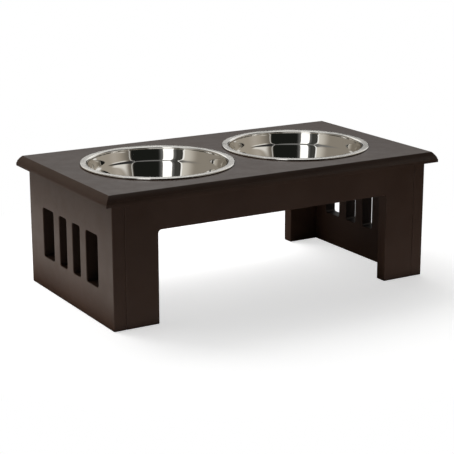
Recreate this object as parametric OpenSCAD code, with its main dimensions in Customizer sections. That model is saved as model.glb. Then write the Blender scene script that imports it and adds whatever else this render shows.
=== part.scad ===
// Raised two-bowl pet feeder: four slotted and arched panels, a moulded top board and two lift-out bowls.
// Seen from the front (-Y), left is -X. The origin is on the floor, under the middle of the stand.

/* [Stand] */
// Length over the two side panels
body_l = 412.5; // [400:0.5:560]
// Depth over the front and back panels
body_d = 217.5; // [210:0.5:320]
// Height of the panels, from the floor to the underside of the top board
panel_h = 140; // [132:0.5:280]
// Thickness of the side, front and back panels
panel_t = 15; // [14:0.5:18]

/* [Top board] */
// Thickness of the top board
board_t = 12; // [11:0.5:20]
// Distance that the board's lip stands out past the panels
overhang = 11.25; // [6:0.25:25]
// Height of the square lip at the bottom of the moulding
lip_h = 3; // [1:0.25:4]
// Distance that the lip stands out past the slope above it
lip_out = 0.8; // [0.2:0.1:2]
// Distance that the moulding's slope leans in, up to the flat top
slope_run = 6.1; // [4:0.1:8]
// Radius of the slope's shallow outward curve
slope_r = 26; // [16:1:60]

/* [Front and back panels] */
// Width of each leg of the front and back panels, without the side panel
leg_w = 40; // [36:0.5:60]
// Height of the apron above the arch
apron_h = 34.5; // [30:0.5:44]
// Radius in the arch's two upper corners
arch_r = 4; // [1:0.5:10]

/* [Slots in the side panels] */
// Width of each outer slot
slot_outer_w = 29.5; // [12:0.5:32]
// Width of each inner slot
slot_inner_w = 19.5; // [12:0.5:24]
// Width of each bar between two slots
slot_bar_w = 15.5; // [8:0.5:20]
// Height of a slot
slot_h = 58.5; // [30:0.5:60]
// Height of the slots' lower ends above the floor
slot_z = 40; // [30:0.5:41]
// Radius in the corners of a slot
slot_r = 3; // [1:0.25:5]

/* [Bowls] */
// Distance between the centres of the two bowls
bowl_pitch = 188; // [182:0.5:200]
// Diameter of a bowl at its mouth, inside
mouth_d = 159.8; // [140:0.2:164]
// Width of the flat rim, from the mouth to its outer edge
rim_w = 8.7; // [7.5:0.1:10]
// Thickness of the steel sheet
sheet_t = 0.8; // [0.6:0.1:1.2]
// Height of the turned-down outer edge, on which the bowl rests
edge_h = 2; // [1.8:0.1:3]
// Width of the turned-down outer edge
edge_w = 2; // [1.5:0.1:2.4]
// Radius from the rim over into the wall
mouth_r = 2.2; // [1.8:0.1:3]
// Depth inside, from the rim to the floor
bowl_depth = 52; // [44:0.5:60]
// Slope of the wall from upright, in degrees
wall_slope = 13; // [6:0.5:20]
// Depth of the ledge that runs round inside the wall
ledge_depth = 18; // [12:0.5:22]
// Width of that ledge
ledge_w = 1; // [0.4:0.1:2]
// Height of that ledge's slant
ledge_h = 1.2; // [0.6:0.1:2]
// Radius between the wall and the floor
floor_r = 12; // [6:0.5:16]
// Gap between a bowl and the edge of its hole
hole_gap = 0.5; // [0.3:0.1:1.5]

/* [Cam locks] */
// Diameter of a cam lock
cam_d = 15; // [12:0.5:15]
// Depth of a cam lock in its panel
cam_h = 12.4; // [11:0.1:12.6]
// Distance of a cam lock's centre from the joint
cam_reach = 24; // [22:0.5:26]
// Length of the driver cross in a cam lock's face
cross_l = 7; // [5:0.5:9]
// Width of the driver cross
cross_w = 1.4; // [0.8:0.1:2]
// Depth of the driver cross
cross_h = 2; // [1:0.1:2.5]
// Diameter of a cam bolt's thread
thread_d = 6; // [5:0.1:7]
// Length of a cam bolt's thread
thread_l = 8; // [6:0.5:9]
// Diameter of a cam bolt's shaft
shaft_d = 6; // [5:0.1:7]
// Diameter of a cam bolt's neck
neck_d = 3.6; // [2.5:0.1:4]
// Diameter of a cam bolt's head
head_d = 6.4; // [5:0.1:7]
// Length of a cam bolt's head
head_l = 3; // [2:0.1:3.5]
// Height of the lower cam lock in each leg
cam_low_z = 62; // [50:0.5:70]
// Distance of each leg's upper cam lock below the top board
cam_high_drop = 22; // [16:0.5:24]
// Distance between the two cam locks in a side panel's top edge
top_cam_pitch = 120; // [90:1:140]

/* [Dowels] */
// Diameter of a wooden dowel
dowel_d = 8; // [6:0.5:8]
// Length of a wooden dowel
dowel_l = 30; // [24:0.5:32]
// Depth to which a dowel enters the board that it meets face on
dowel_seat = 8; // [6:0.5:9]
// Height of the lower dowel in each leg
dowel_low_z = 28; // [20:0.5:36]
// Height of the upper dowel in each leg
dowel_high_z = 90; // [84:0.5:98]
// Distance between the two dowels in a side panel's top edge
side_dowel_pitch = 60; // [30:1:70]
// Distance between the two dowels in the front and back panels' top edges
front_dowel_pitch = 220; // [160:1:260]

/* [Fits] */
// Gap all round between a fitting and its hole
fit_gap = 0.1; // [0.05:0.01:0.2]
// Spare depth of a hole past the end of what it holds
end_gap = 0.5; // [0.2:0.1:0.8]

/* [Hidden] */

$fn = 48;
bowl_fn = 128;
arc_steps = 10;
// How far a cut runs past the face that it opens
past = 1;

paint = "#2b201a";
steel = "#c9c8c4";
zinc = "#a9a9a6";
beech = "#cfae7c";

// Sides of the stand: -1 is left or front, 1 is right or back
left = -1;
right = 1;
front = -1;
back = 1;

inner_x = body_l / 2 - panel_t;
inner_y = body_d / 2 - panel_t;
panel_mid_x = body_l / 2 - panel_t / 2;
panel_mid_y = body_d / 2 - panel_t / 2;
front_panel_l = 2 * inner_x;
arch_w = front_panel_l - 2 * leg_w;
arch_h = panel_h - apron_h;

board_l = body_l + 2 * overhang;
board_d = body_d + 2 * overhang;
board_top = panel_h + board_t;

slot_widths = [slot_outer_w, slot_inner_w, slot_inner_w, slot_outer_w];
last_slot = len(slot_widths) - 1;
slots_d = slot_start(last_slot) + slot_widths[last_slot];

mouth_radius = mouth_d / 2;
rim_radius = mouth_radius + rim_w;
rim_top = board_top + edge_h;
bowl_floor = rim_top - bowl_depth;
hole_d = mouth_d + 2 * (mouth_r + hole_gap);

cam_zs = [cam_low_z, panel_h - cam_high_drop];
dowel_zs = [dowel_low_z, dowel_high_z];

// Points along an arc about a centre, from one angle to another
function arc(centre, r, from, to) =
    [for (i = [0 : arc_steps]) let (a = from + (to - from) * i / arc_steps)
        centre + r * [cos(a), sin(a)]];

// Where the slots begin, counted from the first slot's front edge
function slot_start(i) = i == 0 ? 0 : slot_start(i - 1) + slot_widths[i - 1] + slot_bar_w;

// Copies its children to the left or right, and to the front or back, by mirroring
module at_side(sx) {
    if (sx == right) mirror([1, 0, 0]) children();
    else children();
}

module at_end(sy) {
    if (sy == back) mirror([0, 1, 0]) children();
    else children();
}

// A rectangle from the origin with four round corners
module rounded_rect(w, h, r) {
    translate([r, 0]) square([w - 2 * r, h]);
    translate([0, r]) square([w, h - 2 * r]);
    for (x = [r, w - r], y = [r, h - r]) translate([x, y]) circle(r);
}

// Section of the top board, w wide over its lips, standing on y = 0
module board_section(w) {
    half = w / 2;
    foot = [half - lip_out, lip_h];
    rise = board_t - lip_h;
    lean = atan2(slope_run, rise);
    half_turn = asin(norm([slope_run, rise]) / 2 / slope_r);
    centre = foot - slope_r * [cos(lean - half_turn), sin(lean - half_turn)];
    edge = concat([[half, 0], [half, lip_h]], arc(centre, slope_r, lean - half_turn, lean + half_turn));
    count = len(edge);
    polygon(concat(edge, [for (i = [0 : count - 1]) let (p = edge[count - 1 - i]) [-p[0], p[1]]]));
}

// Section of half a bowl, from its axis out to the edge of the rim
module bowl_section() {
    slope = tan(wall_slope);
    over = [mouth_radius + mouth_r, rim_top - mouth_r];
    wall_top = over + mouth_r * [-cos(wall_slope), -sin(wall_slope)];
    ledge_top = [wall_top[0] - (wall_top[1] - rim_top + ledge_depth) * slope, rim_top - ledge_depth];
    ledge_low = ledge_top - [ledge_w, ledge_h];
    corner_z = bowl_floor + floor_r;
    corner_drop = corner_z - floor_r * sin(wall_slope);
    corner_x = ledge_low[0] - (ledge_low[1] - corner_drop) * slope - floor_r * cos(wall_slope);
    corner = [corner_x, corner_z];
    rim_round = min(edge_w, edge_h) / 2;
    shift = sheet_t / cos(wall_slope);
    inside = concat([[0, bowl_floor]],
                    arc(corner, floor_r, -90, -wall_slope),
                    [ledge_low, ledge_top],
                    arc(over, mouth_r, 180 + wall_slope, 90),
                    arc([rim_radius - rim_round, rim_top - rim_round], rim_round, 90, 0));
    outside = concat([[rim_radius, board_top],
                      [rim_radius - edge_w, board_top],
                      [rim_radius - edge_w, rim_top - sheet_t]],
                     arc(over, mouth_r - sheet_t, 90, 180 + wall_slope),
                     [ledge_top + [shift, 0], ledge_low + [shift, 0]],
                     arc(corner, floor_r + sheet_t, -wall_slope, -90),
                     [[0, bowl_floor - sheet_t]]);
    polygon(concat(inside, outside));
}

// The fittings below are drawn about a joint at x = 0. The bolt is screwed into the board at x < 0
// and runs through the panel at x > 0, whose open face is at z = panel_t / 2.

module cam_lock_piece() {
    chamber_l = head_l + 2 * fit_gap;
    difference() {
        translate([cam_reach, 0, panel_t / 2 - cam_h]) cylinder(d = cam_d, h = cam_h);
        translate([cam_reach - chamber_l / 2, 0, 0]) rotate([0, 90, 0])
            cylinder(d = head_d + 2 * fit_gap, h = chamber_l);
        translate([cam_reach - cam_d, 0, 0]) rotate([0, 90, 0]) cylinder(d = neck_d + 2 * fit_gap, h = cam_d);
        for (turn = [0, 90]) translate([cam_reach, 0, panel_t / 2 + (past - cross_h) / 2]) rotate(turn)
            cube([cross_l, cross_w, cross_h + past], center = true);
    }
}

module cam_bolt_piece() {
    shaft_end = cam_reach - cam_d / 2 - fit_gap;
    head_start = cam_reach - head_l / 2;
    rotate([0, 90, 0]) {
        translate([0, 0, -thread_l]) cylinder(d = thread_d, h = thread_l);
        cylinder(d = shaft_d, h = shaft_end);
        cylinder(d = neck_d, h = cam_reach);
        translate([0, 0, head_start]) cylinder(d = head_d, h = head_l);
    }
}

module dowel_piece() {
    translate([-dowel_seat, 0, 0]) rotate([0, 90, 0]) cylinder(d = dowel_d, h = dowel_l);
}

// Holes for a cam bolt in the board that it is screwed into
module bolt_hole() {
    translate([-thread_l - end_gap, 0, 0]) rotate([0, 90, 0])
        cylinder(d = thread_d + 2 * fit_gap, h = thread_l + end_gap + past);
}

// Holes for a cam bolt and its cam lock in the panel that they draw up
module cam_hole() {
    translate([-past, 0, 0]) rotate([0, 90, 0]) cylinder(d = shaft_d + 2 * fit_gap, h = past + cam_reach);
    translate([cam_reach, 0, panel_t / 2 - cam_h]) cylinder(d = cam_d + 2 * fit_gap, h = cam_h + past);
}

// Hole for a dowel, on both sides of the joint
module dowel_hole() {
    translate([-dowel_seat - end_gap, 0, 0]) rotate([0, 90, 0])
        cylinder(d = dowel_d + 2 * fit_gap, h = dowel_l + 2 * end_gap);
}

// Places of the fittings, for the front left corner and the left half of the stand

module corner_places(heights) {
    for (z = heights) translate([-inner_x, -panel_mid_y, z]) rotate([-90, 0, 0]) children();
}

module side_top_places(pitch) {
    for (y = [-pitch / 2, pitch / 2]) translate([-panel_mid_x, y, panel_h]) rotate([0, 90, 0]) children();
}

module front_top_places() {
    for (x = [-front_dowel_pitch / 2, front_dowel_pitch / 2]) translate([x, -panel_mid_y, panel_h])
        rotate([0, 90, 0]) children();
}

module top_board() {
    color(paint) difference() {
        intersection() {
            translate([0, board_d / 2, panel_h]) rotate([90, 0, 0])
                linear_extrude(board_d) board_section(board_l);
            translate([-board_l / 2, 0, panel_h]) rotate([90, 0, 90])
                linear_extrude(board_l) board_section(board_d);
        }
        for (sx = [left, right]) translate([sx * bowl_pitch / 2, 0, panel_h - past])
            cylinder(d = hole_d, h = board_t + 2 * past, $fn = bowl_fn);
        for (sx = [left, right]) at_side(sx) {
            side_top_places(top_cam_pitch) bolt_hole();
            side_top_places(side_dowel_pitch) dowel_hole();
        }
        for (sy = [front, back]) at_end(sy) front_top_places() dowel_hole();
    }
}

module side_panel(sx) {
    color(paint) at_side(sx) difference() {
        translate([-body_l / 2, -body_d / 2, 0]) cube([panel_t, body_d, panel_h]);
        for (i = [0 : last_slot])
            translate([-body_l / 2 - past, -slots_d / 2 + slot_start(i), slot_z]) rotate([90, 0, 90])
                linear_extrude(panel_t + 2 * past) rounded_rect(slot_widths[i], slot_h, slot_r);
        for (sy = [front, back]) at_end(sy) {
            corner_places(cam_zs) bolt_hole();
            corner_places(dowel_zs) dowel_hole();
        }
        side_top_places(top_cam_pitch) cam_hole();
        side_top_places(side_dowel_pitch) dowel_hole();
    }
}

module arched_panel(sy) {
    color(paint) at_end(sy) difference() {
        translate([-inner_x, -body_d / 2, 0]) cube([front_panel_l, panel_t, panel_h]);
        translate([0, -inner_y + past, 0]) rotate([90, 0, 0]) linear_extrude(panel_t + 2 * past) {
            translate([-arch_w / 2, -past]) square([arch_w, arch_h + past - arch_r]);
            translate([-arch_w / 2 + arch_r, -past]) square([arch_w - 2 * arch_r, arch_h + past]);
            for (x = [-1, 1]) translate([x * (arch_w / 2 - arch_r), arch_h - arch_r]) circle(arch_r);
        }
        for (sx = [left, right]) at_side(sx) {
            corner_places(cam_zs) cam_hole();
            corner_places(dowel_zs) dowel_hole();
        }
        front_top_places() dowel_hole();
    }
}

module bowl(sx) {
    color(steel) translate([sx * bowl_pitch / 2, 0, 0]) rotate_extrude($fn = bowl_fn) bowl_section();
}

module corner_cam_locks(sx, sy) {
    color(zinc) at_side(sx) at_end(sy) corner_places(cam_zs) cam_lock_piece();
}

module corner_cam_bolts(sx, sy) {
    color(zinc) at_side(sx) at_end(sy) corner_places(cam_zs) cam_bolt_piece();
}

module corner_dowels(sx, sy) {
    color(beech) at_side(sx) at_end(sy) corner_places(dowel_zs) dowel_piece();
}

module top_cam_locks(sx) {
    color(zinc) at_side(sx) side_top_places(top_cam_pitch) cam_lock_piece();
}

module top_cam_bolts(sx) {
    color(zinc) at_side(sx) side_top_places(top_cam_pitch) cam_bolt_piece();
}

module side_top_dowels(sx) {
    color(beech) at_side(sx) side_top_places(side_dowel_pitch) dowel_piece();
}

module end_top_dowels(sy) {
    color(beech) at_end(sy) front_top_places() dowel_piece();
}

top_board();
side_panel(left);  // left_side_panel
side_panel(right);  // right_side_panel
arched_panel(front);  // front_panel
arched_panel(back);  // back_panel
bowl(left);  // left_bowl
bowl(right);  // right_bowl
corner_cam_locks(left, front);  // front_left_cam_locks
corner_cam_locks(right, front);  // front_right_cam_locks
corner_cam_locks(left, back);  // back_left_cam_locks
corner_cam_locks(right, back);  // back_right_cam_locks
corner_cam_bolts(left, front);  // front_left_cam_bolts
corner_cam_bolts(right, front);  // front_right_cam_bolts
corner_cam_bolts(left, back);  // back_left_cam_bolts
corner_cam_bolts(right, back);  // back_right_cam_bolts
corner_dowels(left, front);  // front_left_dowels
corner_dowels(right, front);  // front_right_dowels
corner_dowels(left, back);  // back_left_dowels
corner_dowels(right, back);  // back_right_dowels
top_cam_locks(left);  // left_top_cam_locks
top_cam_locks(right);  // right_top_cam_locks
top_cam_bolts(left);  // left_top_cam_bolts
top_cam_bolts(right);  // right_top_cam_bolts
side_top_dowels(left);  // left_top_dowels
side_top_dowels(right);  // right_top_dowels
end_top_dowels(front);  // front_top_dowels
end_top_dowels(back);  // back_top_dowels
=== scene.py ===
"""Raised two-bowl pet feeder: painted boards and polished steel bowls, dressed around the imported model."""
import math
from collections import namedtuple

import bmesh
import bpy
from bpy.props import FloatProperty, FloatVectorProperty, IntProperty, PointerProperty
from mathutils import Euler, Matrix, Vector


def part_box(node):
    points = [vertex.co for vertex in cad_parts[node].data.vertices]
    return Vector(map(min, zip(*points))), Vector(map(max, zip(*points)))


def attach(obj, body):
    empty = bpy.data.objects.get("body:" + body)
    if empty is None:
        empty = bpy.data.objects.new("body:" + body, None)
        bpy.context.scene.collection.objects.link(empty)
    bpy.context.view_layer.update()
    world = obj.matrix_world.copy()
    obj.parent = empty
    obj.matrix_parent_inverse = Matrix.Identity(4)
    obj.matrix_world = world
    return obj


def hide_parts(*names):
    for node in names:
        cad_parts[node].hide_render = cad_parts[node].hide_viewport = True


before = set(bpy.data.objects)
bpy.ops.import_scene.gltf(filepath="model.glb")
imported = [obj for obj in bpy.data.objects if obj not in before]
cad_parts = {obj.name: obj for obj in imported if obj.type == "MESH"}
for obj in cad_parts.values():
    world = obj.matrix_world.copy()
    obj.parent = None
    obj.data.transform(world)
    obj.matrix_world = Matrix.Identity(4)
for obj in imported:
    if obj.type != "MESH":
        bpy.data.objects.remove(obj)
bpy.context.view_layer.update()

bl_info = {
    "name": "Raised Pet Feeder",
    "version": (1, 0, 0),
    "blender": (4, 5, 0),
    "location": "View3D > Sidebar > Feeder",
    "description": "Models a raised two-bowl pet feeder of painted board around its construction model",
    "category": "Object",
}

MM = 0.001
SIDE_PANELS = ("left_side_panel", "right_side_panel")
ARCHED_PANELS = ("front_panel", "back_panel")
BOWLS = ("left_bowl", "right_bowl")
STAND = "stand"

# The least normal of a face that looks up, the largest of one that doesn't look sideways, and a gap of nothing
FACES_UP = 0.99
FACES_ALONG = 0.3
HAIR = 0.000001


def mm(text, value, note):
    """A length property, given in millimetres and kept in metres."""
    return FloatProperty(name=text, description=note, default=value * MM, min=0.0, unit="LENGTH", precision=5)


def metres(text, value, note):
    """A length property of the studio, in metres."""
    return FloatProperty(name=text, description=note, default=value, unit="LENGTH")


def degrees(text, value, note):
    """An angle property, given in degrees and kept in radians."""
    return FloatProperty(name=text, description=note, default=math.radians(value), subtype="ANGLE")


def watts(text, value, note):
    """The power of a lamp."""
    return FloatProperty(name=text, description=note, default=value, unit="POWER")


def amount(text, value, note):
    """A plain number, such as a strength, a roughness or a heading in degrees."""
    return FloatProperty(name=text, description=note, default=value)


def count(text, value, least, note):
    """A number of faces."""
    return IntProperty(name=text, description=note, default=value, min=least)


def colour(text, value, note):
    return FloatVectorProperty(name=text, description=note, default=value, subtype="COLOR")


class BoardSizes(bpy.types.PropertyGroup):
    """Sizes of the painted boards."""
    arris: mm("Panel arris", 0.9, "Radius of the rounded edges of the panels")
    board_arris: mm("Moulding arris", 0.3, "Radius of the rounded edges of the top board's moulding")
    lip_height: mm("Lip height", 3.0, "Height of the square lip under the moulding")
    lip_out: mm("Lip step", 0.8, "How far the lip stands out past the moulding's slope")
    slope_run: mm("Slope run", 6.1, "How far the moulding's slope leans in up to the flat top")
    slope_radius: mm("Slope radius", 26.0, "Radius of the slope's shallow curve")
    leg_width: mm("Leg width", 40.0, "Width of each leg of the arched panels")
    apron_height: mm("Apron height", 34.5, "Height of the apron above the arch")
    arch_radius: mm("Arch radius", 4.0, "Radius in the arch's two upper corners")
    slot_outer: mm("Outer slot", 29.5, "Width of the two outer slots in a side panel")
    slot_inner: mm("Inner slot", 19.5, "Width of the two inner slots in a side panel")
    slot_bar: mm("Bar", 15.5, "Width of the bars between the slots")
    slot_height: mm("Slot height", 58.5, "Height of the slots")
    slot_low: mm("Slot foot", 40.0, "Height of the slots' lower ends above the floor")
    slot_radius: mm("Slot radius", 3.0, "Radius in the slots' corners")
    hole_gap: mm("Hole gap", 0.5, "Gap between a bowl and the edge of its hole")
    fit_gap: mm("Fitting gap", 0.1, "Gap all round between a fitting and its hole")
    arris_steps: count("Arris steps", 3, 1, "Faces across a rounded edge")
    slope_steps: count("Slope steps", 12, 4, "Faces across the moulding's slope")


class BowlSizes(bpy.types.PropertyGroup):
    """Sizes of the pressed steel bowls."""
    rim_width: mm("Rim width", 8.7, "Width of the flat rim, from the mouth to its outer edge")
    sheet: mm("Sheet", 0.8, "Thickness of the steel sheet")
    edge_height: mm("Edge height", 2.0, "Height of the turned-down outer edge")
    edge_width: mm("Edge width", 2.0, "Width of the turned-down outer edge")
    mouth_radius: mm("Mouth radius", 2.2, "Radius from the rim over into the wall")
    depth: mm("Depth", 52.0, "Depth inside, from the rim to the floor")
    slope: degrees("Wall slope", 11.5, "Slope of the wall from upright")
    low_slope: degrees("Lower slope", 18.5, "The same at the foot of the wall")
    ledge_depth: mm("Ledge depth", 16.0, "Depth of the ledge that runs round inside the wall")
    ledge_width: mm("Ledge width", 1.7, "How far the ledge sets the wall in")
    ledge_reach: mm("Ledge reach", 1.3, "Height over which the ledge rolls into the wall")
    flare: mm("Flare", 0.6, "How far the wall flares out under the mouth")
    flare_reach: mm("Flare reach", 3.5, "Height over which the wall flares out")
    floor_radius: mm("Floor radius", 8.5, "Radius between the wall and the floor")
    turns: count("Turn steps", 192, 32, "Faces round a bowl")
    arc_steps: count("Arc steps", 12, 4, "Faces across each of the bowl's bends")
    wall_steps: count("Wall steps", 48, 8, "Faces down the wall")


class PaintFinish(bpy.types.PropertyGroup):
    """Colours of the painted boards, the steel and the fittings."""
    paint: colour("Paint", (0.044, 0.0225, 0.0140), "Espresso-brown paint")
    paint_thin: colour("Paint, thin", (0.050, 0.0262, 0.0168), "The paint where it lies thinner")
    gloss: amount("Paint roughness", 0.36, "Roughness of the satin paint")
    # Painted shade: the paint inside the slots is darkened by this factor, for the shade that falls in them
    slot_shade: amount("Slot paint", 0.4, "Colour of the paint inside the slots, against 1 on the faces")
    steel: colour("Steel", (0.76, 0.745, 0.715), "Stainless steel")
    zinc: colour("Zinc", (0.48, 0.48, 0.47), "Die-cast zinc")
    beech: colour("Beech", (0.60, 0.40, 0.21), "Unfinished beech")


class StageSettings(bpy.types.PropertyGroup):
    """Camera, floor, light and the studio that the steel mirrors."""
    azimuth: degrees("Azimuth", -30.778, "Camera direction, 0 looks along +Y")
    elevation: degrees("Elevation", 15.068, "Height of the camera's view")
    roll: degrees("Roll", -0.035, "Tilt of the camera about its view")
    place: FloatVectorProperty(name="Place", description="Place of the camera", subtype="TRANSLATION",
                               default=(-0.8245, -1.3815, 0.4960))
    lens: amount("Lens", 110.94, "Focal length in millimetres")
    floor_size: metres("Floor", 24.0, "Width of the floor")
    sky: amount("Sky", 0.95, "Strength of the soft light from behind and above")
    back_power: watts("Back softbox", 34.0, "Power of the softbox behind")
    left_power: watts("Left softbox", 5.0, "Power of the left softbox")
    floor_lift: amount("Floor lift", 0.62, "How much paler the camera sees the floor")
    floor_glow: amount("Floor glow", 1.38, "Soft light from the floor round the stand")
    floor_gloss: amount("Floor gloss", 1.2, "How bright gloss shows the floor on the left")
    ceiling: amount("Ceiling", 1.05, "How bright gloss shows the middle of the ceiling")
    ceiling_edge: amount("Ceiling edge", 0.18, "The same for the ceiling's edge")
    wall_radius: metres("Walls", 1.2, "Distance of the studio walls")
    wall_height: metres("Wall height", 1.5, "Height of the walls")
    wall: colour("Wall", (0.39, 0.352, 0.297), "Colour of the side walls")
    wall_back: colour("Back wall", (1.15, 1.14, 1.11), "Colour of the wall behind")
    dark_right: amount("Dark right", -17.0, "Heading of the dark opening's right edge, in degrees")
    dark_left: amount("Dark left", 76.0, "Heading of its left edge, in degrees")
    strip_heading: amount("Strip heading", 50.5, "Heading of the middle of the strip light, in degrees")
    strip_half: amount("Strip half", 8.6, "Half the strip light, in degrees")


# The studio that the steel mirrors. A heading is in degrees, counted from the front towards the left, and a
# height or a place is in metres. A pair of numbers is where a change starts and where it is complete.

Band = namedtuple("Band", "middle half soft colour")
GREY_REFLECTOR = Band(middle=-51.0, half=8.0, soft=9.0, colour=(0.47, 0.43, 0.375))
HIGH_REFLECTOR = Band(middle=-46.0, half=16.0, soft=6.0, colour=(0.85, 0.83, 0.78))
HIGH_REFLECTOR_FOOT = (0.56, 0.62)
REAR_REFLECTOR = Band(middle=-111.0, half=12.0, soft=4.0, colour=(0.9, 0.89, 0.87))
DIM_REFLECTOR = Band(middle=70.0, half=5.0, soft=3.0, colour=(0.055, 0.055, 0.05))
BLACK = (0.0, 0.0, 0.0)
UNLIT = (0.03, 0.03, 0.03)
RIGHT_WALL_DIMS = (-42.0, -17.0)
RIGHT_WALL_DIM = 0.4
LEFT_WALL_STARTS = (60.0, 62.0)
LEFT_WALL_DIMS = (85.0, 108.0)
LEFT_WALL_DIM = 0.75
LEFT_PATCH_ENDS = (78.0, 104.0)
LEFT_PATCH_COLOUR = (0.70, 0.67, 0.61)
WALL_FOOT = (0.08, 0.28)
WALL_HEAD = 0.8
BACK_WALL_FOOT = (0.33, 0.6)
BACK_WALL_LEFT = (164.0, 178.0)
BACK_WALL_RIGHT = (-118.0, -126.0)
FRONT_HEAD = (0.85, 1.0)
FRONT_HALF = (75.0, 95.0)
OPENING_COLOUR = (0.012, 0.013, 0.011)
OPENING_SOFT_RIGHT = 1.5
OPENING_SOFT_LEFT = 1.0
STRIP_SOFT = 0.8
STRIP_COLOUR = (1.6, 1.6, 1.58)
SPILL_REACH = 9.0
SPILL_COLOUR = (0.17, 0.17, 0.165)
LEFT_JAMB = Band(middle=1.3, half=1.3, soft=0.5, colour=(1.1, 1.1, 1.08))
RIGHT_JAMB = Band(middle=-2.2, half=0.9, soft=0.5, colour=(0.62, 0.61, 0.59))
WALL_FACES = 96
SKY_SLANT = 0.2
SKY_STARTS = (0.0, 0.6)
SKY_COLOUR = (1.0, 0.995, 0.985)
CEILING_STARTS = (0.78, 0.95)
CEILING_COLOUR = (1.0, 1.0, 0.98)
WHITE = (1.0, 1.0, 1.0)

# The floor: its colour, where the camera sees it turn white, where its soft light starts and ends, and the
# strip of it on the left that gloss sees

FLOOR_COLOUR = (0.93, 0.93, 0.93)
FLOOR_ROUGHNESS = 0.9
FLOOR_WHITENS = (0.24, 0.44)
GLOW_STARTS_X = (0.206, 0.216)
GLOW_STARTS_Y = (0.108, 0.118)
GLOW_ENDS = (0.25, 0.55)
GLOSS_STARTS = (-0.207, -0.285)
GLOSS_ENDS = (-0.34, -0.40)
GLOSS_BEYOND = 0.1
GLOSS_COLOUR = (1.0, 0.93, 0.86)

# The softboxes, each with its place, the point it faces and its two sides, and the camera's film and reach

BACK_SOFTBOX = ((-0.5, 1.9, 1.8), (0.0, 0.0, 0.1), (2.4, 2.0))
LEFT_SOFTBOX = ((-2.2, 0.6, 1.1), (0.0, 0.0, 0.08), (1.6, 1.6))
FILM_WIDTH = 36.0
CAMERA_REACH = 60.0


def sizes(kind):
    """The property group of that kind in the scene."""
    return getattr(bpy.context.scene, "feeder_" + kind)


# Modelling helpers

def deselect():
    bpy.ops.object.select_all(action="DESELECT")


def make_active(piece):
    deselect()
    piece.select_set(True)
    bpy.context.view_layer.objects.active = piece


def settle(piece):
    """Moves the piece's place into its mesh, so that its object sits at the origin."""
    make_active(piece)
    bpy.ops.object.transform_apply(location=True, rotation=True, scale=True)


def add_block(name, low, high):
    """A block between two corners."""
    low, high = Vector(low), Vector(high)
    deselect()
    bpy.ops.mesh.primitive_cube_add(size=1.0, location=(low + high) / 2, scale=high - low)
    block = bpy.context.object
    block.name = name
    settle(block)
    return block


def add_rod(name, centre, axis, diameter, length, steps=48):
    """A round bar about an axis, which is X, Y or Z."""
    turn = {"X": (0.0, math.pi / 2, 0.0), "Y": (math.pi / 2, 0.0, 0.0), "Z": (0.0, 0.0, 0.0)}[axis]
    deselect()
    bpy.ops.mesh.primitive_cylinder_add(vertices=steps, radius=diameter / 2, depth=length, location=centre,
                                        rotation=Euler(turn))
    rod = bpy.context.object
    rod.name = name
    settle(rod)
    return rod


def select_where(piece, kind, test):
    """Goes into edit mode with only those edges or faces selected that pass the test."""
    make_active(piece)
    bpy.ops.object.mode_set(mode="EDIT")
    bpy.ops.mesh.select_mode(type=kind)
    bpy.ops.mesh.select_all(action="DESELECT")
    mesh = bmesh.from_edit_mesh(piece.data)
    for item in (mesh.edges if kind == "EDGE" else mesh.faces):
        if test(item):
            item.select_set(True)
    bmesh.update_edit_mesh(piece.data)


def leave_edit():
    bpy.ops.object.mode_set(mode="OBJECT")


def round_edges_along(piece, axis, radius, steps, test=lambda middle: True):
    """Rounds the edges that run along an axis, numbered 0 to 2."""
    def wanted(edge):
        run = edge.verts[1].co - edge.verts[0].co
        middle = (edge.verts[1].co + edge.verts[0].co) / 2
        return abs(run[axis]) > 0.999 * run.length and test(middle)
    select_where(piece, "EDGE", wanted)
    bpy.ops.mesh.bevel(offset=radius, segments=steps, affect="EDGES")
    leave_edit()


def apply_modifier(piece, kind, **settings):
    modifier = piece.modifiers.new(kind.title(), kind)
    for key, value in settings.items():
        setattr(modifier, key, value)
    make_active(piece)
    bpy.ops.object.modifier_apply(modifier=modifier.name)


def cut(piece, cutters):
    """Takes the cutters' shapes, which lie apart, out of the piece."""
    make_active(cutters[0])
    for cutter in cutters[1:]:
        cutter.select_set(True)
    if len(cutters) > 1:
        bpy.ops.object.join()
    apply_modifier(piece, "BOOLEAN", operation="DIFFERENCE", solver="EXACT", object=cutters[0])
    bpy.data.objects.remove(cutters[0], do_unlink=True)


def finish_board(piece, arris, steps):
    """Rounds every sharp edge a little, as sanding and paint leave it."""
    apply_modifier(piece, "BEVEL", width=arris, segments=steps, limit_method="ANGLE",
                   angle_limit=math.radians(40), miter_outer="MITER_ARC")


def shade(piece, angle=35.0):
    """Smooth shading up to an angle, with flat faces kept flat."""
    make_active(piece)
    bpy.ops.object.shade_smooth_by_angle(angle=math.radians(angle))
    apply_modifier(piece, "WEIGHTED_NORMAL", keep_sharp=True, weight=80)


def hand_over(piece, node, body):
    """Lets the piece stand for a node, on its body."""
    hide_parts(node)
    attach(piece, body)


# Fittings: their places come from the construction model

def loose_boxes(node):
    """Low and high corners of the two solids in a fittings node."""
    points = [tuple(v.co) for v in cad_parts[node].data.vertices]
    best = None
    for axis in range(3):
        values = sorted({round(p[axis], 6) for p in points})
        gap, at = max((b - a, (a + b) / 2) for a, b in zip(values, values[1:]))
        if best is None or gap > best[0]:
            best = (gap, axis, at)
    _, axis, at = best
    groups = [[p for p in points if p[axis] < at], [p for p in points if p[axis] > at]]
    corners = []
    for group in groups:
        corners.append([Vector([pick(p[i] for p in group) for i in range(3)]) for pick in (min, max)])
    return corners


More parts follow.
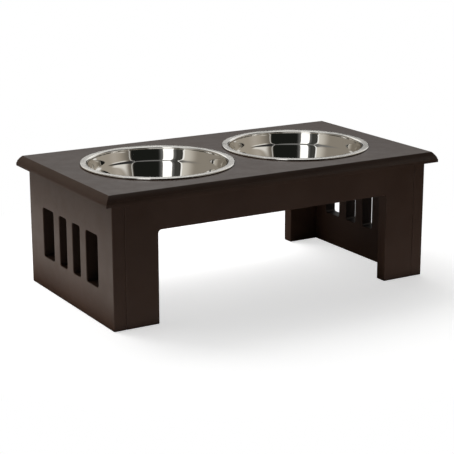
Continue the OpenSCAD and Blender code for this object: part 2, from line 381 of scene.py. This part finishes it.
def drill_for(node, gap):
    """Cutters for the holes that hold a node's two fittings."""
    cutters = []
    for low, high in loose_boxes(node):
        size = high - low
        spread = [abs(size[(i + 1) % 3] - size[(i + 2) % 3]) for i in range(3)]
        axis = spread.index(min(spread))
        diameter = size[(axis + 1) % 3] + 2 * gap
        cutters.append(add_rod("drill", (low + high) / 2, "XYZ"[axis], diameter, size[axis] + 2 * gap))
    return cutters


def fittings_in(panel):
    """Names of the fitting nodes whose holes lie in that board."""
    names = [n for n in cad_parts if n.endswith(("_cam_locks", "_cam_bolts", "_dowels"))]
    low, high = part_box(panel)
    reach = Vector((MM, MM, MM)) * 0.5
    found = []
    for name in names:
        a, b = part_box(name)
        if all(a[i] < high[i] - reach[i] and b[i] > low[i] + reach[i] for i in range(3)):
            found.append(name)
    return found


def drill(piece, panel, gap):
    """Opens the holes of every fitting in that board.

    It takes one kind at a time, because a cam lock's hole meets its bolt's.
    """
    for kind in ("_cam_locks", "_cam_bolts", "_dowels"):
        cutters = [c for name in fittings_in(panel) if name.endswith(kind) for c in drill_for(name, gap)]
        if cutters:
            cut(piece, cutters)


# Materials

class Nodes:
    """Adds and links nodes in a node tree."""

    def __init__(self, tree):
        self.tree = tree

    def add(self, kind, **values):
        node = self.tree.nodes.new("ShaderNode" + kind)
        for key, value in values.items():
            setattr(node, key, value)
        return node

    def feed(self, source, socket):
        """Links an output to the socket, or writes a number or colour into it."""
        if isinstance(source, bpy.types.NodeSocket):
            self.tree.links.new(source, socket)
        elif isinstance(source, (int, float)):
            socket.default_value = source
        else:
            socket.default_value = (*source, 1.0) if len(socket.default_value) == 4 else source

    def maths(self, operation, a, b=0.0):
        node = self.add("Math", operation=operation)
        self.feed(a, node.inputs[0])
        self.feed(b, node.inputs[1])
        return node.outputs[0]

    def times(self, a, b):
        return self.maths("MULTIPLY", a, b)

    def fade(self, source, start, end, low=0.0, high=1.0):
        """Goes softly from low at start to high at end."""
        node = self.add("MapRange", interpolation_type="SMOOTHSTEP")
        values = {"Value": source, "From Min": start, "From Max": end, "To Min": low, "To Max": high}
        for name, value in values.items():
            self.feed(value, node.inputs[name])
        return node.outputs["Result"]

    def within(self, source, middle, half, soft):
        """1 where the source lies within half of the middle and 0 outside, with soft edges."""
        off = self.maths("ABSOLUTE", self.maths("SUBTRACT", source, middle))
        return self.fade(off, half - soft, half + soft, 1.0, 0.0)

    def mix(self, mask, a, b):
        node = self.add("Mix", data_type="RGBA")
        self.feed(mask, node.inputs["Factor"])
        self.feed(a, node.inputs[6])
        self.feed(b, node.inputs[7])
        return node.outputs[2]

    def blend(self, mask, a, b):
        """Mixes two shaders."""
        node = self.add("MixShader")
        self.feed(mask, node.inputs["Fac"])
        self.feed(a, node.inputs[1])
        self.feed(b, node.inputs[2])
        return node.outputs[0]

    def split(self, vector):
        node = self.add("SeparateXYZ")
        self.feed(vector, node.inputs[0])
        return node.outputs

    def join(self, x=0.0, y=0.0, z=0.0):
        node = self.add("CombineXYZ")
        for value, socket in zip((x, y, z), node.inputs):
            self.feed(value, socket)
        return node.outputs[0]

    def place(self, centre=(0.0, 0.0, 0.0)):
        """Object coordinates, counted from a centre."""
        mapping = self.add("Mapping")
        mapping.inputs["Location"].default_value = [-c for c in centre]
        self.feed(self.add("TexCoord").outputs["Object"], mapping.inputs["Vector"])
        return mapping.outputs["Vector"]

    def noise(self, vector, scale, detail=3.0, roughness=0.55):
        node = self.add("TexNoise")
        values = {"Vector": vector, "Scale": scale, "Detail": detail, "Roughness": roughness}
        for name, value in values.items():
            self.feed(value, node.inputs[name])
        return node.outputs["Fac"]

    def bump(self, height, distance, strength, under=None):
        node = self.add("Bump")
        for name, value in {"Height": height, "Distance": distance, "Strength": strength}.items():
            self.feed(value, node.inputs[name])
        if under is not None:
            self.feed(under, node.inputs["Normal"])
        return node.outputs["Normal"]


def new_material(name):
    """A node material with its Principled shader's sockets and a node helper."""
    material = bpy.data.materials.new(name)
    material.use_nodes = True
    return material, material.node_tree.nodes["Principled BSDF"].inputs, Nodes(material.node_tree)


# The stretch of a noise that most finishes spread over their range, and the paint's share of mirrored light
NOISE_MIDDLE = (0.3, 0.7)
PAINT_SPECULAR = 0.27


def paint_material(name, depth):
    """Satin espresso paint on board: a faint orange peel, cloudy thin spots and rubbed patches in the gloss.

    Depth scales its colour: 1 on the faces, and less inside the slots, where the darker colour is painted
    shade.
    """
    finish = sizes("finish")
    material, sockets, nodes = new_material(name)
    place = nodes.place()
    clouds = nodes.fade(nodes.noise(place, scale=14.0, detail=5.0), start=0.36, end=0.66)
    paint, thin = Vector(finish.paint) * depth, Vector(finish.paint_thin) * depth
    nodes.feed(nodes.mix(clouds, paint, thin), sockets["Base Color"])
    patches = nodes.noise(place, scale=55.0, detail=4.0, roughness=0.6)
    rubbed, dull = finish.gloss - 0.03, finish.gloss + 0.04
    nodes.feed(nodes.fade(patches, *NOISE_MIDDLE, rubbed, dull), sockets["Roughness"])
    sockets["Specular IOR Level"].default_value = PAINT_SPECULAR
    peel = nodes.noise(place, scale=900.0, detail=2.0)
    nodes.feed(nodes.bump(peel, distance=0.00004, strength=0.25), sockets["Normal"])


def steel_material(name, centre, roughness, ring_depth, wave_depth):
    """Stainless steel: fine turning rings about the bowl's axis, smudges and the waves of a pressed sheet."""
    finish = sizes("finish")
    material, sockets, nodes = new_material(name)
    sockets["Base Color"].default_value = (*finish.steel, 1.0)
    sockets["Metallic"].default_value = 1.0
    place = nodes.place(centre)
    x, y, z = nodes.split(place)
    radius = nodes.maths("SQRT", nodes.maths("ADD", nodes.times(x, x), nodes.times(y, y)))
    rings = nodes.noise(nodes.join(radius, z), scale=2600.0, detail=3.0, roughness=0.6)
    smudges = nodes.noise(place, scale=38.0, detail=3.0, roughness=0.5)
    polished, smudged = roughness * 0.8, roughness * 1.3
    nodes.feed(nodes.fade(smudges, 0.3, 0.75, polished, smudged), sockets["Roughness"])
    sheet = nodes.noise(place, scale=42.0, detail=1.0, roughness=0.4)
    waves = nodes.bump(sheet, distance=wave_depth, strength=1.0)
    nodes.feed(nodes.bump(rings, distance=ring_depth, strength=0.3, under=waves), sockets["Normal"])
    return material


def zinc_material():
    """Die-cast zinc: a grainy grey with a dull shine."""
    material, sockets, nodes = new_material("cast_zinc")
    sockets["Metallic"].default_value = 1.0
    grain = nodes.noise(nodes.place(), scale=1400.0, detail=3.0, roughness=0.6)
    zinc = Vector(sizes("finish").zinc)
    nodes.feed(nodes.mix(nodes.fade(grain, *NOISE_MIDDLE), zinc * 0.85, zinc * 1.1), sockets["Base Color"])
    nodes.feed(nodes.fade(grain, *NOISE_MIDDLE, low=0.34, high=0.5), sockets["Roughness"])
    nodes.feed(nodes.bump(grain, distance=0.00005, strength=0.3), sockets["Normal"])
    return material


def beech_material():
    """Beech dowels: short grain flecks."""
    material, sockets, nodes = new_material("beech_dowel")
    flecks = nodes.noise(nodes.place(), scale=420.0, detail=4.0, roughness=0.65)
    beech = Vector(sizes("finish").beech)
    nodes.feed(nodes.mix(nodes.fade(flecks, *NOISE_MIDDLE), beech * 0.7, beech * 1.1), sockets["Base Color"])
    nodes.feed(nodes.fade(flecks, *NOISE_MIDDLE, low=0.55, high=0.7), sockets["Roughness"])
    nodes.feed(nodes.bump(flecks, distance=0.0001, strength=0.4), sockets["Normal"])
    return material


def arc(centre, radius, start, end, steps):
    """Points along an arc in a section, from one angle to another, in degrees."""
    angles = [math.radians(start + (end - start) * i / steps) for i in range(steps + 1)]
    return [Vector((centre[0] + radius * math.cos(a), centre[1] + radius * math.sin(a))) for a in angles]


# Operators: one for each piece or group of like pieces

class FEEDER_OT_top_board(bpy.types.Operator):
    """Model the moulded top board with its two round holes"""
    bl_idname = "feeder.top_board"
    bl_label = "Top board"

    def execute(self, context):
        s = sizes("board")
        low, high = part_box("top_board")
        piece = add_block("top_board_painted", low, (high.x, high.y, low.z + s.lip_height))
        rise = high.z - low.z - s.lip_height
        chord = math.hypot(s.slope_run, rise)
        tilt = math.degrees(math.atan2(s.slope_run, rise))
        half_turn = math.degrees(math.asin(chord / 2 / s.slope_radius))
        curve = arc((0.0, 0.0), s.slope_radius, tilt - half_turn, tilt + half_turn, s.slope_steps)
        steps = [(s.lip_out, 0.0)] + [(a.x - b.x, b.y - a.y) for a, b in zip(curve, curve[1:])]
        level = low.z + s.lip_height

        def on_top(face):
            return face.normal.z > FACES_UP and face.calc_center_median().z > level - HAIR

        for inset, lift in steps:
            select_where(piece, "FACE", on_top)
            bpy.ops.mesh.inset(thickness=inset, depth=lift, use_even_offset=True)
            leave_edit()
            level += lift
        cutters = []
        for node in BOWLS:
            a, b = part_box(node)
            bowl = sizes("bowl")
            hole = b.x - a.x - 2 * bowl.rim_width + 2 * (bowl.mouth_radius + s.hole_gap)
            cutters.append(add_rod("hole", ((a.x + b.x) / 2, (a.y + b.y) / 2, (low.z + high.z) / 2), "Z",
                                   hole, 3 * (high.z - low.z), bowl.turns))
        cut(piece, cutters)
        finish_board(piece, s.board_arris, 2)
        drill(piece, "top_board", s.fit_gap)
        shade(piece)
        piece.data.materials.append(bpy.data.materials["espresso_paint"])
        hand_over(piece, "top_board", STAND)
        return {"FINISHED"}


class FEEDER_OT_side_panels(bpy.types.Operator):
    """Model the two side panels, each with four upright slots"""
    bl_idname = "feeder.side_panels"
    bl_label = "Side panels"

    def execute(self, context):
        s = sizes("board")
        widths = (s.slot_outer, s.slot_inner, s.slot_inner, s.slot_outer)
        row = sum(widths) + s.slot_bar * (len(widths) - 1)
        for node in SIDE_PANELS:
            low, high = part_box(node)
            piece = add_block(node + "_painted", low, high)
            margin = Vector((high.x - low.x, 0.0, 0.0))
            y = -row / 2
            cutters = []
            for width in widths:
                slot = add_block("slot", Vector((low.x, y, s.slot_low)) - margin,
                                 Vector((high.x, y + width, s.slot_low + s.slot_height)) + margin)
                round_edges_along(slot, 0, s.slot_radius, 6)
                cutters.append(slot)
                y += width + s.slot_bar
            cut(piece, cutters)
            finish_board(piece, s.arris, s.arris_steps)
            drill(piece, node, s.fit_gap)
            shade(piece)
            for name in ("espresso_paint", "espresso_paint_slot_shade"):
                piece.data.materials.append(bpy.data.materials[name])
            # The faces inside the slots take the darker copy of the paint: painted shade in the slot recesses
            for face in piece.data.polygons:
                in_row = abs(face.center.y) < row / 2 + MM
                at_slots = s.slot_low - MM < face.center.z < s.slot_low + s.slot_height + MM
                along = abs(face.normal.x) < FACES_ALONG
                face.material_index = 1 if in_row and at_slots and along else 0
            hand_over(piece, node, STAND)
        return {"FINISHED"}


class FEEDER_OT_arched_panels(bpy.types.Operator):
    """Model the front and back panels, each an upside-down U"""
    bl_idname = "feeder.arched_panels"
    bl_label = "Arched panels"

    def execute(self, context):
        s = sizes("board")
        for node in ARCHED_PANELS:
            low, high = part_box(node)
            piece = add_block(node + "_painted", low, high)
            deep = high.y - low.y
            crown = high.z - s.apron_height
            arch = add_block("arch", (low.x + s.leg_width, low.y - deep, low.z - deep),
                             (high.x - s.leg_width, high.y + deep, crown))
            round_edges_along(arch, 1, s.arch_radius, 6, lambda middle: middle.z > crown - MM)
            cut(piece, [arch])
            finish_board(piece, s.arris, s.arris_steps)
            drill(piece, node, s.fit_gap)
            shade(piece)
            piece.data.materials.append(bpy.data.materials["espresso_paint"])
            hand_over(piece, node, STAND)
        return {"FINISHED"}


def bowl_section(node):
    """Section of a bowl as a closed line of (radius, height) points, with the bends that the press leaves.

    The wall flares a little under the mouth. The ledge is a soft roll in the sheet, and below it the wall
    leans in more and more, up to the lower slope.
    """
    s = sizes("bowl")
    low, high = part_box(node)
    rim = (high.x - low.x) / 2
    mouth = rim - s.rim_width
    top, seat = high.z, high.z - s.edge_height
    floor = top - s.depth
    slope, low_slope = math.degrees(s.slope), math.degrees(s.low_slope)
    fall = math.tan(s.slope)
    over = Vector((mouth + s.mouth_radius, top - s.mouth_radius))
    start = over + s.mouth_radius * Vector((-math.cos(s.slope), -math.sin(s.slope)))
    bend_z = floor + s.floor_radius * (1 - math.sin(s.low_slope))
    ledge = top - s.ledge_depth

    def wall_at(z):
        roll = math.atan((ledge - z) / s.ledge_reach) - math.atan((ledge - start.y) / s.ledge_reach)
        flare = s.flare * (1 - math.exp((z - start.y) / s.flare_reach))
        below = max(0.0, ledge - z)
        lean = (math.tan(s.low_slope) - fall) * below * below / (below + s.ledge_width)
        return start.x - (start.y - z) * fall - lean - flare - s.ledge_width * roll / math.pi

    spread = [2 * i / s.wall_steps - 1 for i in range(s.wall_steps + 1)]
    heights = [ledge + (start.y - ledge if t > 0 else ledge - bend_z) * t * abs(t) for t in spread]
    wall = [Vector((wall_at(z), z)) for z in heights]
    bend = (wall[0].x - s.floor_radius * math.cos(s.low_slope), floor + s.floor_radius)
    bead = min(s.edge_width, s.edge_height) / 2
    shift = Vector((s.sheet / math.cos(s.slope), 0.0))
    n = s.arc_steps
    inside = [Vector((0.0, floor))] + arc(bend, s.floor_radius, -90, -low_slope, n) + wall[1:-1]
    inside += arc(over, s.mouth_radius, 180 + slope, 90, n)
    inside += arc((rim - bead, top - bead), bead, 90, -90, 2 * n)
    outside = [Vector((rim - s.edge_width, seat)), Vector((rim - s.edge_width, top - s.sheet))]
    outside += arc(over, s.mouth_radius - s.sheet, 90, 180 + slope, n)
    outside += [point + shift for point in reversed(wall[1:-1])]
    outside += arc(bend, s.floor_radius + s.sheet, -low_slope, -90, n) + [Vector((0.0, floor - s.sheet))]
    return inside + outside


class FEEDER_OT_bowls(bpy.types.Operator):
    """Spin the two steel bowls from their section"""
    bl_idname = "feeder.bowls"
    bl_label = "Bowls"

    def execute(self, context):
        s = sizes("bowl")
        for node in BOWLS:
            low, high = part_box(node)
            centre = Vector(((low.x + high.x) / 2, (low.y + high.y) / 2, 0.0))
            section = bowl_section(node)
            deselect()
            bpy.ops.mesh.primitive_plane_add(size=MM, location=centre)
            piece = bpy.context.object
            piece.name = node + "_steel"
            settle(piece)
            bpy.ops.object.mode_set(mode="EDIT")
            bpy.ops.mesh.select_mode(type="VERT")
            bpy.ops.mesh.select_all(action="SELECT")
            bpy.ops.mesh.merge(type="CENTER")
            start = section[0]
            bpy.ops.transform.translate(value=(start.x, 0.0, start.y))
            for a, b in zip(section, section[1:]):
                step = (b.x - a.x, 0.0, b.y - a.y)
                bpy.ops.mesh.extrude_region_move(TRANSFORM_OT_translate={"value": step})
            bpy.ops.mesh.select_all(action="SELECT")
            bpy.ops.mesh.spin(steps=s.turns, angle=2 * math.pi, center=centre, axis=(0.0, 0.0, 1.0))
            bpy.ops.mesh.select_all(action="SELECT")
            bpy.ops.mesh.remove_doubles(threshold=2 * HAIR)
            bpy.ops.mesh.normals_make_consistent(inside=False)
            leave_edit()
            make_active(piece)
            bpy.ops.object.shade_smooth_by_angle(angle=math.radians(50))
            mirror = steel_material(node + "_mirror_steel", centre, roughness=0.04, ring_depth=0.0000015,
                                    wave_depth=0.0001)
            satin = steel_material(node + "_satin_steel", centre, roughness=0.26, ring_depth=0.000002,
                                   wave_depth=0.0)
            for material in (mirror, satin):
                piece.data.materials.append(material)
            # The flat of the rim and the outside are satin, the bead and the inside are a mirror
            for face in piece.data.polygons:
                out = (Vector((face.center.x, face.center.y, 0.0)) - centre).length
                rim = (high.x - low.x) / 2
                on_bead = out > rim - s.edge_width * 0.75
                outside = face.normal.z < -0.2 or face.normal.xy.dot(face.center.xy - centre.xy) > 0
                flat = face.normal.z > 0.97 and out > rim - s.rim_width + s.mouth_radius * 0.6
                face.material_index = 1 if flat or (outside and not on_bead) else 0
            hand_over(piece, node, node)
        return {"FINISHED"}


class FEEDER_OT_fittings(bpy.types.Operator):
    """Give the cam locks, cam bolts and dowels their finishes"""
    bl_idname = "feeder.fittings"
    bl_label = "Fittings"

    def execute(self, context):
        zinc, beech = zinc_material(), beech_material()
        for name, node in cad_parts.items():
            if name.endswith("_dowels"):
                node.data.materials.clear()
                node.data.materials.append(beech)
            elif name.endswith(("_cam_locks", "_cam_bolts")):
                node.data.materials.clear()
                node.data.materials.append(zinc)
        return {"FINISHED"}


class FEEDER_OT_paint(bpy.types.Operator):
    """Mix the paint that all the boards share"""
    bl_idname = "feeder.paint"
    bl_label = "Paint"

    def execute(self, context):
        paint_material("espresso_paint", 1.0)
        # A darker copy of the paint for inside the slots: painted shade
        paint_material("espresso_paint_slot_shade", sizes("finish").slot_shade)
        return {"FINISHED"}


def background(nodes, colour, strength):
    node = nodes.add("Background")
    nodes.feed(colour, node.inputs["Color"])
    nodes.feed(strength, node.inputs["Strength"])
    return node.outputs[0]


def emission(nodes, colour, strength):
    node = nodes.add("Emission")
    nodes.feed(colour, node.inputs["Color"])
    nodes.feed(strength, node.inputs["Strength"])
    return node.outputs[0]


def world_shader():
    """White to the camera, a bright ceiling to the steel, and soft light from behind to the boards."""
    s = sizes("stage")
    world = bpy.data.worlds.new("studio")
    bpy.context.scene.world = world
    world.use_nodes = True
    world.node_tree.nodes.clear()
    nodes = Nodes(world.node_tree)
    x, y, z = nodes.split(nodes.add("TexCoord").outputs["Generated"])
    behind = nodes.maths("SUBTRACT", y, nodes.times(x, SKY_SLANT))
    soft = background(nodes, SKY_COLOUR, nodes.fade(behind, *SKY_STARTS, 0.0, s.sky))
    ceiling = background(nodes, CEILING_COLOUR, nodes.fade(z, *CEILING_STARTS, s.ceiling_edge, s.ceiling))
    white = background(nodes, WHITE, 1.0)
    rays = nodes.add("LightPath").outputs
    lit = nodes.blend(rays["Is Glossy Ray"], soft, ceiling)
    seen = nodes.blend(rays["Is Camera Ray"], lit, white)
    nodes.feed(seen, nodes.add("OutputWorld").inputs["Surface"])


def side_walls(nodes, s, heading, z):
    """Colour of the walls at both sides: dimmer towards the front at the right, with reflectors on them."""
    left = nodes.fade(heading, *LEFT_WALL_STARTS)
    dim = nodes.maths("MAXIMUM", nodes.fade(heading, *RIGHT_WALL_DIMS, 1.0, RIGHT_WALL_DIM), left)
    dim = nodes.times(dim, nodes.fade(heading, *LEFT_WALL_DIMS, 1.0, LEFT_WALL_DIM))
    walls = nodes.mix(dim, BLACK, tuple(s.wall))
    grey = nodes.within(heading, *GREY_REFLECTOR[:3])
    walls = nodes.mix(grey, walls, GREY_REFLECTOR.colour)
    high = nodes.times(nodes.within(heading, *HIGH_REFLECTOR[:3]), nodes.fade(z, *HIGH_REFLECTOR_FOOT))
    walls = nodes.mix(high, walls, HIGH_REFLECTOR.colour)
    patch = nodes.times(left, nodes.fade(heading, *LEFT_PATCH_ENDS, 1.0, 0.0))
    walls = nodes.mix(patch, walls, LEFT_PATCH_COLOUR)
    return nodes.mix(nodes.fade(z, *WALL_FOOT), UNLIT, walls)


def back_wall(nodes, s, heading, z, walls):
    """Adds the bright wall behind, its reflector at the right, and the dim heads of all the walls."""
    bright = nodes.mix(nodes.fade(z, *BACK_WALL_FOOT), UNLIT, tuple(s.wall_back))
    at_left = nodes.fade(heading, *BACK_WALL_LEFT)
    at_right = nodes.fade(heading, *BACK_WALL_RIGHT)
    walls = nodes.mix(nodes.maths("MAXIMUM", at_left, at_right), walls, bright)
    rear = nodes.within(heading, *REAR_REFLECTOR[:3])
    walls = nodes.mix(rear, walls, REAR_REFLECTOR.colour)
    walls = nodes.mix(nodes.fade(z, WALL_HEAD, s.wall_height), walls, (s.ceiling_edge,) * 3)
    in_front = nodes.fade(nodes.maths("ABSOLUTE", heading), *FRONT_HALF, 1.0, 0.0)
    return nodes.mix(nodes.times(nodes.fade(z, *FRONT_HEAD), in_front), walls, UNLIT)


def dark_opening(nodes, s, heading, walls):
    """Adds the dark opening towards the camera, the strip light in it and its two bright jambs."""
    into = nodes.fade(heading, s.dark_right - OPENING_SOFT_RIGHT, s.dark_right + OPENING_SOFT_RIGHT)
    out_of = nodes.fade(heading, s.dark_left - OPENING_SOFT_LEFT, s.dark_left + OPENING_SOFT_LEFT, 1.0, 0.0)
    dark = nodes.times(into, out_of)
    walls = nodes.mix(dark, walls, OPENING_COLOUR)
    off = nodes.maths("ABSOLUTE", nodes.maths("SUBTRACT", heading, s.strip_heading))
    spill = nodes.times(dark, nodes.fade(off, s.strip_half, s.strip_half + SPILL_REACH, 1.0, 0.0))
    walls = nodes.mix(spill, walls, SPILL_COLOUR)
    bands = (DIM_REFLECTOR,
             Band(s.strip_heading, s.strip_half, STRIP_SOFT, STRIP_COLOUR),
             LEFT_JAMB._replace(middle=s.dark_left + LEFT_JAMB.middle),
             RIGHT_JAMB._replace(middle=s.dark_right + RIGHT_JAMB.middle))
    for band in bands:
        walls = nodes.mix(nodes.within(heading, *band[:3]), walls, band.colour)
    return walls


def ring_material():
    """What the steel mirrors: pale walls, a dark opening towards the camera and a white strip light in it."""
    s = sizes("stage")
    material, _, nodes = new_material("studio_walls")
    x, y, z = nodes.split(nodes.place())
    turn = nodes.maths("ARCTAN2", nodes.times(x, -1.0), nodes.times(y, -1.0))
    heading = nodes.times(turn, 180 / math.pi)
    walls = side_walls(nodes, s, heading, z)
    walls = back_wall(nodes, s, heading, z, walls)
    walls = dark_opening(nodes, s, heading, walls)
    surface = material.node_tree.nodes["Material Output"].inputs["Surface"]
    nodes.feed(emission(nodes, walls, 1.0), surface)
    return material


def floor_material():
    """A pale floor that keeps the shadow.

    The camera sees it lifted, and plain white far from the stand. Soft light rises from it round the stand,
    but not under it, and gloss sees only a bright strip of it on the left.
    """
    s = sizes("stage")
    material, sockets, nodes = new_material("pale_floor")
    nodes.feed(FLOOR_COLOUR, sockets["Base Color"])
    sockets["Roughness"].default_value = FLOOR_ROUGHNESS
    place = nodes.place()
    x, y, _ = nodes.split(place)
    length = nodes.add("VectorMath", operation="LENGTH")
    nodes.feed(place, length.inputs[0])
    distance = length.outputs["Value"]
    rays = nodes.add("LightPath").outputs
    beside = nodes.fade(nodes.maths("ABSOLUTE", x), *GLOW_STARTS_X)
    before = nodes.fade(nodes.maths("ABSOLUTE", y), *GLOW_STARTS_Y)
    outside = nodes.maths("MAXIMUM", beside, before)
    glow = nodes.times(outside, nodes.fade(distance, *GLOW_ENDS, s.floor_glow, 0.0))
    lift = nodes.times(rays["Is Camera Ray"], s.floor_lift)
    strength = nodes.maths("ADD", lift, nodes.times(rays["Is Diffuse Ray"], glow))
    lifted = nodes.add("AddShader")
    nodes.feed(material.node_tree.nodes["Principled BSDF"].outputs[0], lifted.inputs[0])
    nodes.feed(emission(nodes, WHITE, strength), lifted.inputs[1])
    away = nodes.times(nodes.fade(distance, *FLOOR_WHITENS), rays["Is Camera Ray"])
    seen = nodes.blend(away, lifted.outputs[0], emission(nodes, WHITE, 1.0))
    strip = nodes.fade(x, *GLOSS_STARTS, 0.0, s.floor_gloss)
    strip = nodes.times(strip, nodes.fade(x, *GLOSS_ENDS, 1.0, GLOSS_BEYOND))
    seen = nodes.blend(rays["Is Glossy Ray"], seen, emission(nodes, GLOSS_COLOUR, strip))
    nodes.feed(seen, material.node_tree.nodes["Material Output"].inputs["Surface"])
    return material


def add_lamp(name, place, target, size, power):
    deselect()
    bpy.ops.object.light_add(type="AREA", location=place)
    lamp = bpy.context.object
    lamp.name = name
    lamp.data.shape = "RECTANGLE"
    lamp.data.size, lamp.data.size_y = size
    lamp.data.energy = power
    lamp.rotation_euler = (Vector(target) - Vector(place)).to_track_quat("-Z", "Y").to_euler()
    lamp.visible_glossy = False


class FEEDER_OT_stage(bpy.types.Operator):
    """Set up the floor, the soft light and the camera"""
    bl_idname = "feeder.stage"
    bl_label = "Stage"

    def execute(self, context):
        s = sizes("stage")
        deselect()
        bpy.ops.mesh.primitive_plane_add(size=s.floor_size, location=(0.0, 0.0, 0.0))
        floor = context.object
        floor.name = "floor"
        floor.data.materials.append(floor_material())
        deselect()
        bpy.ops.mesh.primitive_cylinder_add(vertices=WALL_FACES, radius=s.wall_radius, depth=s.wall_height,
                                            end_fill_type="NOTHING", location=(0.0, 0.0, s.wall_height / 2))
        walls = context.object
        walls.name = "studio_walls"
        settle(walls)
        walls.data.materials.append(ring_material())
        for kind in ("camera", "diffuse", "shadow"):
            setattr(walls, "visible_" + kind, False)
        world_shader()
        add_lamp("back_softbox", *BACK_SOFTBOX, s.back_power)
        add_lamp("left_softbox", *LEFT_SOFTBOX, s.left_power)
        deselect()
        bpy.ops.object.camera_add(location=s.place)
        camera = context.object
        camera.name = "photo_camera"
        camera.data.lens = s.lens
        camera.data.sensor_width = FILM_WIDTH
        camera.data.clip_end = CAMERA_REACH
        level = math.cos(s.elevation)
        back = Vector((math.sin(s.azimuth) * level, -math.cos(s.azimuth) * level, math.sin(s.elevation)))
        turn = back.to_track_quat("Z", "Y").to_matrix()
        roll = Euler((0.0, 0.0, s.roll)).to_matrix()
        camera.rotation_euler = (turn @ roll).to_euler()
        context.scene.camera = camera
        context.scene.view_settings.view_transform = "Standard"
        return {"FINISHED"}


class FEEDER_PT_panel(bpy.types.Panel):
    """The feeder's pieces and sizes"""
    bl_label = "Raised Pet Feeder"
    bl_idname = "FEEDER_PT_panel"
    bl_space_type = "VIEW_3D"
    bl_region_type = "UI"
    bl_category = "Feeder"

    def draw(self, context):
        for operator in OPERATORS:
            self.layout.operator(operator.bl_idname)
        for kind, group in GROUPS.items():
            box = self.layout.box()
            for name in group.__annotations__:
                box.prop(sizes(kind), name)


GROUPS = {"board": BoardSizes, "bowl": BowlSizes, "finish": PaintFinish, "stage": StageSettings}
OPERATORS = (FEEDER_OT_paint, FEEDER_OT_top_board, FEEDER_OT_side_panels, FEEDER_OT_arched_panels,
             FEEDER_OT_bowls, FEEDER_OT_fittings, FEEDER_OT_stage)
CLASSES = (*GROUPS.values(), *OPERATORS, FEEDER_PT_panel)


def register():
    for item in CLASSES:
        bpy.utils.register_class(item)
    for kind, group in GROUPS.items():
        setattr(bpy.types.Scene, "feeder_" + kind, PointerProperty(type=group))


def unregister():
    for kind in GROUPS:
        delattr(bpy.types.Scene, "feeder_" + kind)
    for item in reversed(CLASSES):
        bpy.utils.unregister_class(item)


def main():
    register()
    bpy.ops.feeder.paint()
    bpy.ops.feeder.top_board()
    bpy.ops.feeder.side_panels()
    bpy.ops.feeder.arched_panels()
    bpy.ops.feeder.bowls()
    bpy.ops.feeder.fittings()
    bpy.ops.feeder.stage()


if __name__ == "__main__":
    main()
